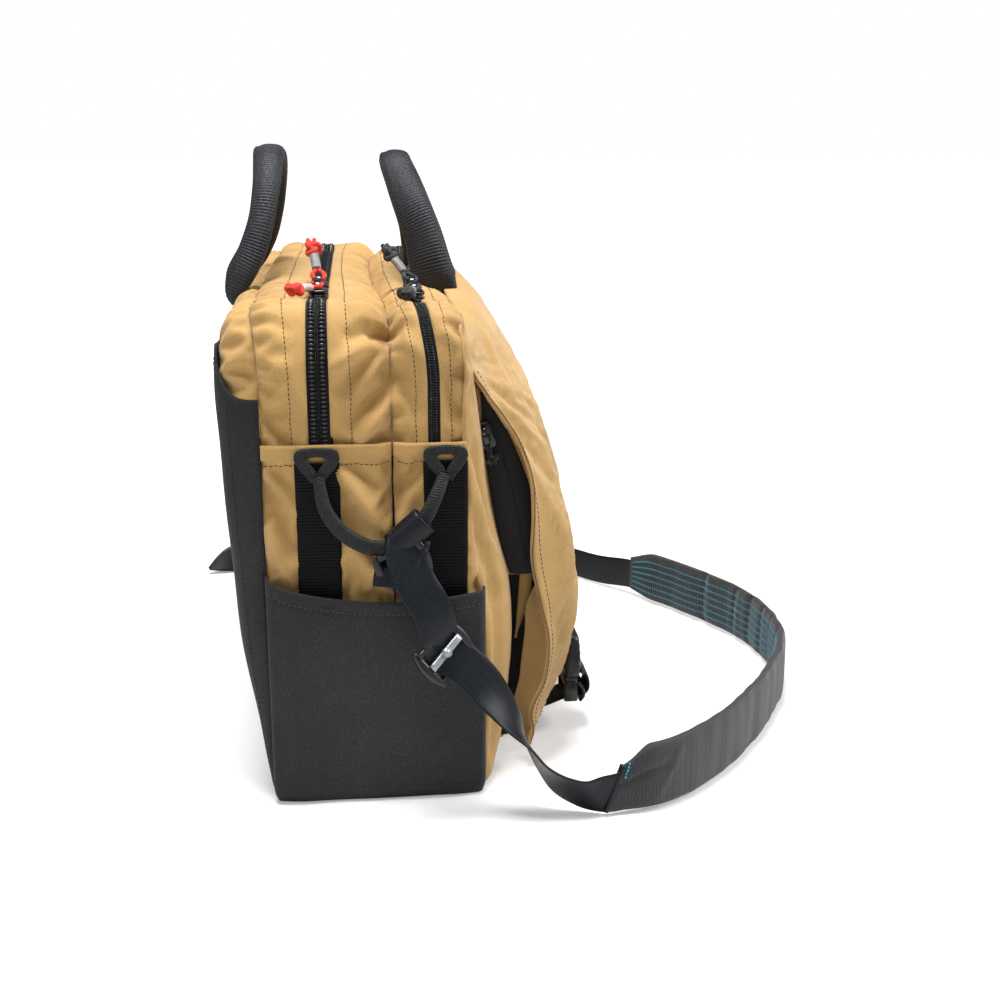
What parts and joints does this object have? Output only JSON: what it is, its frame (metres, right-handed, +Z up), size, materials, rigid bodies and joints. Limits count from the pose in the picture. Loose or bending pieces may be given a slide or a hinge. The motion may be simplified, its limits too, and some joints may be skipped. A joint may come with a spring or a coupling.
{
  "type": "shoulder bag",
  "caption": "Soft two-compartment briefcase-style shoulder bag with arched zippers, buckled front flap, carry handles and a padded shoulder strap lying in front.",
  "frame": {"origin": "middle of the base panel on the ground, between the two end panels", "axes": "+X along the bag to its right end, +Y to the back, +Z up"},
  "size_m": [0.5122, 0.4473, 0.385],
  "materials": {
    "tan_canvas": "woven nylon canvas, coyote tan, matt with fine weave and seam wrinkles",
    "charcoal_laminate": "dark grey laminated cloth, matt and faintly speckled",
    "lining": "light woven lining",
    "stiffener": "plain stiffener board",
    "foam": "closed-cell foam",
    "black_webbing": "ribbed black webbing with a soft sheen",
    "zipper_coil": "black coil zipper, glossy teeth on matt tape",
    "black_hardware": "black acetal, satin gloss",
    "slider_metal": "black painted slider, glossy",
    "red_cord": "bright red braided cord",
    "black_cord": "black braided cord",
    "grey_tube": "grey soft tube",
    "pad_fabric": "dark grey herringbone tubular webbing",
    "grip_teal": "teal grip beads"
  },
  "bodies": {
    "bag": {"base_panel": "charcoal_laminate", "base_board": "stiffener", "back_panel": "tan_canvas", "back_foam": "foam", "back_sleeve": "charcoal_laminate", "left_end_panel": "tan_canvas", "right_end_panel": "tan_canvas", "main_gusset_rear": "tan_canvas", "main_gusset_front": "tan_canvas", "main_zipper": "zipper_coil", "divider_wall": "lining", "front_gusset_rear": "tan_canvas", "front_gusset_front": "tan_canvas", "front_zipper": "zipper_coil", "front_wall": "tan_canvas", "laptop_sleeve": "lining", "left_end_pocket": "charcoal_laminate", "right_end_pocket": "charcoal_laminate", "side_webbing": "black_webbing", "left_haul_loop": "black_webbing", "right_haul_loop": "black_webbing", "left_strap_anchor": "black_webbing", "right_strap_anchor": "black_webbing", "left_anchor_slider": "black_hardware", "right_anchor_slider": "black_hardware", "front_pocket": "tan_canvas", "pocket_zipper": "zipper_coil", "closure_straps": "black_webbing", "right_strap_tail": "black_webbing"},
    "rear_handle": {"rear_handle": "black_webbing"},
    "front_handle": {"front_handle": "black_webbing"},
    "main_slider_near": {"main_slider_near": "slider_metal"},
    "main_slider_far": {"main_slider_far": "slider_metal"},
    "front_slider_near": {"front_slider_near": "slider_metal"},
    "front_slider_far": {"front_slider_far": "slider_metal"},
    "pocket_slider": {"pocket_slider": "slider_metal"},
    "main_pull_near": {"main_pull_near": "red_cord", "main_tube_near": "grey_tube"},
    "main_pull_far": {"main_pull_far": "red_cord", "main_tube_far": "grey_tube"},
    "front_pull_near": {"front_pull_near": "black_cord", "front_tube_near": "grey_tube"},
    "front_pull_far": {"front_pull_far": "black_cord", "front_tube_far": "grey_tube"},
    "pocket_pull": {"pocket_pull": "black_cord"},
    "flap": {"flap": "tan_canvas", "flap_webbing": "black_webbing", "buckle_housings": "black_hardware"},
    "left_buckle": {"left_buckle_plug": "black_hardware"},
    "right_buckle": {"right_buckle_plug": "black_hardware"},
    "shoulder_strap": {"left_strap_webbing": "black_webbing", "right_strap_webbing": "black_webbing", "pad_cover": "pad_fabric", "pad_core": "foam", "pad_grip": "grip_teal"},
    "left_adjuster": {"left_adjuster": "black_hardware"},
    "right_adjuster": {"right_adjuster": "black_hardware"}
  },
  "joints": [
    {"name": "flap_hinge", "type": "hinge", "parent": "bag", "child": "flap", "pos_m": [0, -0.0576, 0.263], "axis": [-1, 0, 0], "range_deg": [0, 95]},
    {"name": "left_buckle_release", "type": "slide", "parent": "bag", "child": "left_buckle", "axis": [0, 0, -1], "range_m": [0, 0.018]},
    {"name": "right_buckle_release", "type": "slide", "parent": "bag", "child": "right_buckle", "axis": [0, 0, -1], "range_m": [0, 0.018]},
    {"name": "rear_handle_fold", "type": "hinge", "parent": "bag", "child": "rear_handle", "pos_m": [0, 0.0896, 0.284], "axis": [-1, 0, 0], "range_deg": [-24, 100]},
    {"name": "front_handle_fold", "type": "hinge", "parent": "bag", "child": "front_handle", "pos_m": [0, -0.0586, 0.28], "axis": [-1, 0, 0], "range_deg": [-100, 4]},
    {"name": "main_slider_near_run", "type": "slide", "parent": "bag", "child": "main_slider_near", "axis": [-1, 0, 0], "range_m": [0, 0.028]},
    {"name": "main_slider_far_run", "type": "slide", "parent": "bag", "child": "main_slider_far", "axis": [1, 0, 0], "range_m": [0, 0.28]},
    {"name": "front_slider_near_run", "type": "slide", "parent": "bag", "child": "front_slider_near", "axis": [-1, 0, 0], "range_m": [0, 0.028]},
    {"name": "front_slider_far_run", "type": "slide", "parent": "bag", "child": "front_slider_far", "axis": [1, 0, 0], "range_m": [0, 0.28]},
    {"name": "pocket_slider_run", "type": "slide", "parent": "bag", "child": "pocket_slider", "axis": [0, -0.2756, -0.9613], "range_m": [0, 0.06]},
    {"name": "main_pull_near_swing", "type": "hinge", "parent": "main_slider_near", "child": "main_pull_near", "pos_m": [-0.145, 0.0313, 0.3032], "axis": [0.342, 0.9397, 0], "range_deg": [0, 110]},
    {"name": "main_pull_far_swing", "type": "hinge", "parent": "main_slider_far", "child": "main_pull_far", "pos_m": [-0.112, 0.0313, 0.3032], "axis": [0, -1, 0], "range_deg": [-44, 70]},
    {"name": "front_pull_near_swing", "type": "hinge", "parent": "front_slider_near", "child": "front_pull_near", "pos_m": [-0.145, -0.027, 0.3014], "axis": [0, 1, 0], "range_deg": [0, 110]},
    {"name": "front_pull_far_swing", "type": "hinge", "parent": "front_slider_far", "child": "front_pull_far", "pos_m": [-0.112, -0.027, 0.3014], "axis": [0, -1, 0], "range_deg": [-44, 70]},
    {"name": "pocket_pull_swing", "type": "hinge", "parent": "pocket_slider", "child": "pocket_pull", "pos_m": [-0.1832, -0.06623, 0.21684], "axis": [0, 0.9613, -0.2756], "range_deg": [0, 70]},
    {"name": "strap_swing", "type": "hinge", "parent": "bag", "child": "shoulder_strap", "pos_m": [0, -0.008, 0.137], "axis": [-1, 0, 0], "range_deg": [0, 115]},
    {"name": "left_adjuster_slide", "type": "slide", "parent": "shoulder_strap", "child": "left_adjuster", "axis": [0, -0.6521, -0.7581], "range_m": [-0.018, 0.008]},
    {"name": "right_adjuster_slide", "type": "slide", "parent": "shoulder_strap", "child": "right_adjuster", "axis": [0, -0.6521, -0.7581], "range_m": [-0.018, 0.008]}
  ]
}
